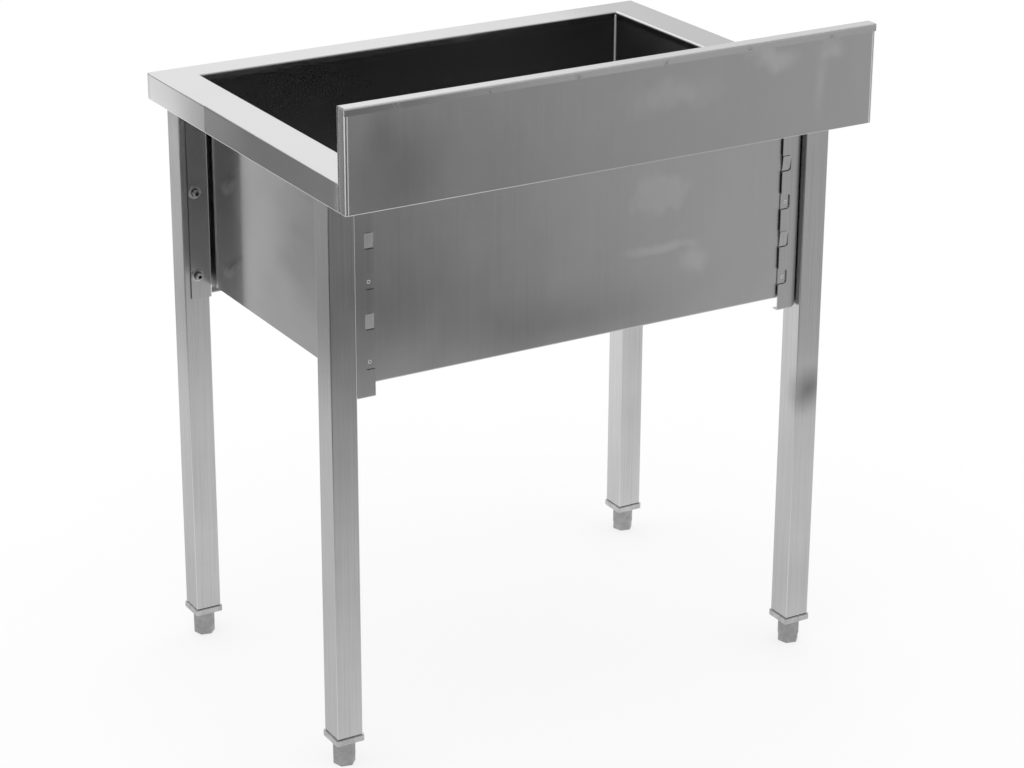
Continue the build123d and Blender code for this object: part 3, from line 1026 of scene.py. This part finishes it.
# tones of the paper as the steel sees it, and over how many metres from the sink's middle each comes or
# goes: near is towards the camera, side is to the camera's right
paper = {
    "close": 0.6,
    "far": 0.14,
    "fallNear": (0.5, 1.45),
    "asideFrom": 0.8,
    "asideShare": 0.4,
    "right": 0.42,
    "rightSlope": -1.15,
    "rightRange": (-0.1, 0.8),
    "behind": 0.42,
    "behindNear": (-1.3, -0.1),
    "gloom": 0.4,
    "gloomNear": (1.6, 2.1),
    "gloomSide": (0.3, 1.0),
    "away": 0.6,
    "awayNear": (-2.6, -1.5),
    "flagEdge": 0.29,
    "flagSoft": 0.008,
    "pastFlag": 0.19,
    "flagSide": (-1.8, -1.2),
    "window": 0.9,
    "windowNear": (2.0, 2.5),
    "windowSide": (-1.6, -1.2),
}
# the paper that hangs behind the sink and the room around it, by direction
backdrop = {
    "near": (-0.35, 0.25),
    "height": (0.5, 0.8),
    "flag": (-0.02, 0.02),
    "pastFlag": 0.25,
    "side": (-0.02, 0.12),
    "right": 0.82,
    "room": 0.03,
    "overhead": 0.4,
    "overheadHeight": (0.3, 0.85),
}
lampLook = {"power": 6.0, "place": (0.0, -0.6, 3.0), "size": 2.5}


def paperTone(tree, place):
    near = vectors(tree, "DOT_PRODUCT", place, towardsCamera)
    side = vectors(tree, "DOT_PRODUCT", place, toTheRight)
    aside = highest(tree, calc(tree, "SUBTRACT", side, paper["asideFrom"]), 0.0)
    depth = calc(tree, "MULTIPLY_ADD", aside, paper["asideShare"], near)
    fall = ramp(tree, depth, *paper["fallNear"], paper["close"], paper["far"], smooth=False)
    rightward = calc(tree, "MULTIPLY_ADD", near, paper["rightSlope"], side)
    lift = ramp(tree, rightward, *paper["rightRange"], paper["far"], paper["right"])
    behind = ramp(tree, near, *paper["behindNear"], paper["behind"], 0.0, smooth=False)
    tone = calc(tree, "ADD", highest(tree, fall, lift), behind)
    gloom = highest(tree, ramp(tree, near, *paper["gloomNear"], 1.0, paper["gloom"]),
                    ramp(tree, side, *paper["gloomSide"]))
    tone = product(tree, tone, gloom, ramp(tree, near, *paper["awayNear"], paper["away"], 1.0))
    past = calc(tree, "SUBTRACT", vectors(tree, "DOT_PRODUCT", place, beyondFlag), paper["flagEdge"])
    beside = ramp(tree, past, -paper["flagSoft"], paper["flagSoft"], 1.0, 0.0)
    flag = calc(tree, "ADD", beside, ramp(tree, side, *paper["flagSide"], paper["pastFlag"], paper["close"]))
    window = product(tree, ramp(tree, side, *paper["windowSide"], 1.0, 0.0),
                     ramp(tree, near, *paper["windowNear"]), paper["window"])
    return highest(tree, calc(tree, "MINIMUM", tone, flag), window)


def addFloor():
    floor = startPiece("floor", bpy.ops.mesh.primitive_plane_add, size=floorPaper["size"])
    material, tree, shader = newMaterial("floor paper", Roughness=1.0)
    shader.inputs["Base Color"].default_value = grey(floorPaper["color"])
    shader.inputs["Specular IOR Level"].default_value = 0
    path = addNode(tree, "ShaderNodeLightPath").outputs
    toCamera = path["Is Camera Ray"]
    glow = addNode(tree, "ShaderNodeEmission")
    tone = highest(tree, paperTone(tree, objectPlace(tree)), product(tree, toCamera, floorPaper["glow"]))
    feed(tree, glow.inputs["Strength"], tone)
    mixed = addNode(tree, "ShaderNodeMixShader")
    share = highest(tree, product(tree, toCamera, floorPaper["glowShare"]), path["Is Glossy Ray"],
                    path["Is Transmission Ray"])
    feed(tree, mixed.inputs[0], share)
    feed(tree, mixed.inputs[1], shader.outputs[0])
    feed(tree, mixed.inputs[2], glow.outputs[0])
    feed(tree, tree.nodes["Material Output"].inputs[0], mixed.outputs[0])
    cover(floor, material)


def addWorld():
    world = bpy.data.worlds.new("studio")
    world.use_nodes = True
    bpy.context.scene.world = world
    tree = world.node_tree
    background = tree.nodes["Background"]
    background.inputs[0].default_value = grey(1)
    direction = addNode(tree, "ShaderNodeTexCoord").outputs["Generated"]
    near, side, past, height = (vectors(tree, "DOT_PRODUCT", direction, axis)
                                for axis in (towardsCamera, toTheRight, beyondFlag, axes["z"]))
    tone = product(tree, ramp(tree, near, *backdrop["near"], 1.0, 0.0),
                   ramp(tree, height, *backdrop["height"], 1.0, 0.0),
                   ramp(tree, past, *backdrop["flag"], 1.0, backdrop["pastFlag"]),
                   ramp(tree, side, *backdrop["side"], 1.0, backdrop["right"]))
    overhead = ramp(tree, height, *backdrop["overheadHeight"], 0.0, backdrop["overhead"])
    path = addNode(tree, "ShaderNodeLightPath").outputs
    tone = highest(tree, tone, backdrop["room"], overhead, path["Is Camera Ray"], path["Is Diffuse Ray"])
    feed(tree, background.inputs[1], tone)


def addLamp():
    data = bpy.data.lights.new("softbox", "AREA")
    data.energy, data.size = lampLook["power"], lampLook["size"]
    lamp = bpy.data.objects.new("softbox", data)
    lamp.location = lampLook["place"]
    lamp.visible_glossy = False
    bpy.context.scene.collection.objects.link(lamp)


addCamera()
addFloor()
addWorld()
addLamp()
bpy.context.scene.view_settings.view_transform = "Standard"
print("studio lit")
